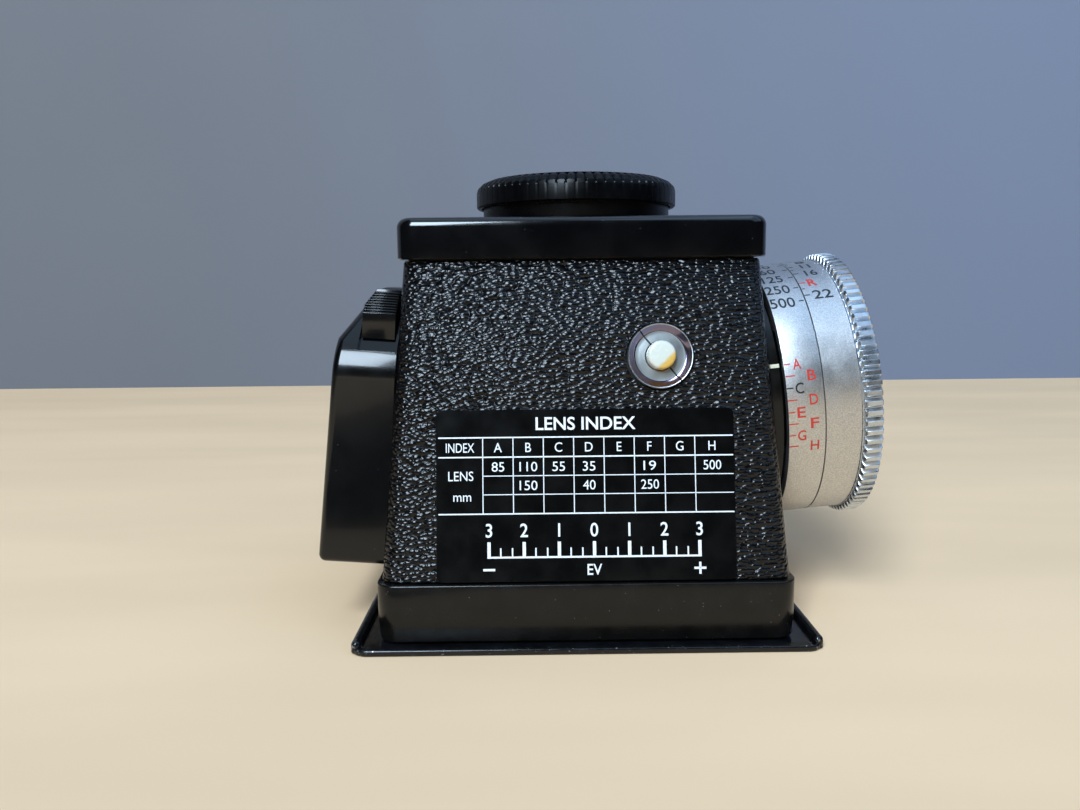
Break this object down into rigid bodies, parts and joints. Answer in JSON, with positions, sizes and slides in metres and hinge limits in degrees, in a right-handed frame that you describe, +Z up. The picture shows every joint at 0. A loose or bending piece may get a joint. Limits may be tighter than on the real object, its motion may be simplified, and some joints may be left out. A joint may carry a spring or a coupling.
{
  "type": "metering chimney viewfinder",
  "caption": "Slide-in chimney viewfinder with a built-in light meter: tapered body, focusing eyepiece, computing dial with lens index, battery housing and test button.",
  "frame": {"origin": "centre of the finder's bounding box in plan, on the underside of the base plate", "axes": "+X to the user's right towards the computing dial, +Y away from the user, +Z up towards the eyepiece"},
  "size_m": [0.0913, 0.067, 0.0729],
  "materials": {
    "black_gloss": "gloss black enamel",
    "black_satin": "satin black",
    "leatherette": "black pebble-grain leatherette",
    "satin_metal": "satin chrome",
    "polished_metal": "polished",
    "steel": "plain steel",
    "brass": "satin",
    "white_plastic": "white moulded plastic",
    "glass": "coated optical glass",
    "dark_plastic": "matt black",
    "board": "laminate"
  },
  "bodies": {
    "finder_body": {"index_plate": "black_gloss", "top_cover": "black_gloss", "housing_cover": "black_gloss", "base_plate": "black_satin", "base_collar": "black_satin", "chimney_shell": "black_satin", "photocell_bracket": "black_satin", "eyepiece_neck": "black_satin", "dial_hub": "black_satin", "leatherette_cover": "leatherette", "battery_cell": "satin_metal", "ring_nut": "polished_metal", "base_screw_left_front": "steel", "base_screw_left_back": "steel", "base_screw_right_front": "steel", "base_screw_right_back": "steel", "hub_screw_1": "steel", "hub_screw_2": "steel", "hub_screw_3": "steel", "housing_screw_1": "steel", "housing_screw_2": "steel", "button_spring": "steel", "index_click_spring": "steel", "meter_magnet": "steel", "neck_nut": "brass", "photocell_left": "brass", "photocell_right": "brass", "switch_contact": "brass", "battery_contact": "brass", "meter_bridge": "brass", "hairspring": "brass", "needle_window": "glass", "light_baffle": "dark_plastic", "switch_body": "dark_plastic", "battery_tray": "dark_plastic", "trim_resistor": "dark_plastic", "circuit_board": "board", "resistor_track": "board"},
    "eyepiece_ring": {"eyepiece_ring": "black_satin"},
    "lens_cell": {"lens_cell": "black_satin", "field_lens": "glass", "lens_spacer": "black_satin", "eye_lens": "glass", "lens_retainer": "brass"},
    "push_button": {"push_button": "white_plastic"},
    "speed_ring": {"speed_ring": "satin_metal"},
    "aperture_ring": {"aperture_ring": "satin_metal", "dial_shaft": "steel", "wiper_arm": "brass", "dial_screw": "polished_metal"},
    "film_speed_disc": {"film_speed_disc": "satin_metal"},
    "power_slider": {"power_slider": "black_gloss"},
    "battery_cap": {"battery_cap": "satin_metal"},
    "meter_coil": {"meter_coil": "brass", "meter_needle": "white_plastic"}
  },
  "joints": [
    {"name": "diopter_turn", "type": "hinge", "parent": "finder_body", "child": "eyepiece_ring", "pos_m": [-0.00309, 0, 0.07], "axis": [0, 0, 1], "range_deg": [-90, 90]},
    {"name": "lens_focus", "type": "slide", "parent": "finder_body", "child": "lens_cell", "axis": [0, 0, 1], "range_m": [-0.00075, 0.00075]},
    {"name": "button_press", "type": "slide", "parent": "finder_body", "child": "push_button", "axis": [0, 0.9802, -0.1981], "range_m": [0, 0.0012], "stiffness_N_per_m": 250, "springref_m": -0.001, "deforming": ["button_spring"]},
    {"name": "index_set", "type": "hinge", "parent": "finder_body", "child": "speed_ring", "pos_m": [0.02642, -0.0015, 0.0356], "axis": [0.9952, 0, 0.0976], "range_deg": [-35, 0]},
    {"name": "aperture_turn", "type": "hinge", "parent": "finder_body", "child": "aperture_ring", "pos_m": [0.02642, -0.0015, 0.0356], "axis": [0.9952, 0, 0.0976], "range_deg": [-120, 120]},
    {"name": "film_speed_set", "type": "hinge", "parent": "aperture_ring", "child": "film_speed_disc", "pos_m": [0.02642, -0.0015, 0.0356], "axis": [0.9952, 0, 0.0976], "range_deg": [-75, 75]},
    {"name": "power_slide", "type": "slide", "parent": "finder_body", "child": "power_slider", "axis": [-0.0487, -0.7071, -0.7054], "range_m": [0, 0.0022]},
    {"name": "battery_cap_turn", "type": "hinge", "parent": "finder_body", "child": "battery_cap", "pos_m": [-0.0335, -0.009, 0.02262], "axis": [-0.9976, 0, 0.0689], "range_deg": [0, 60]},
    {"name": "needle_swing", "type": "hinge", "parent": "finder_body", "child": "meter_coil", "pos_m": [-0.03229, 0.005, 0.04008], "axis": [-0.9976, 0, 0.0689], "range_deg": [-20, 20], "stiffness_Nm_per_rad": 0.00002}
  ],
  "couplings": [
    {"joint": "diopter_turn", "follows": "lens_focus", "rad_per_m": 2094}
  ]
}
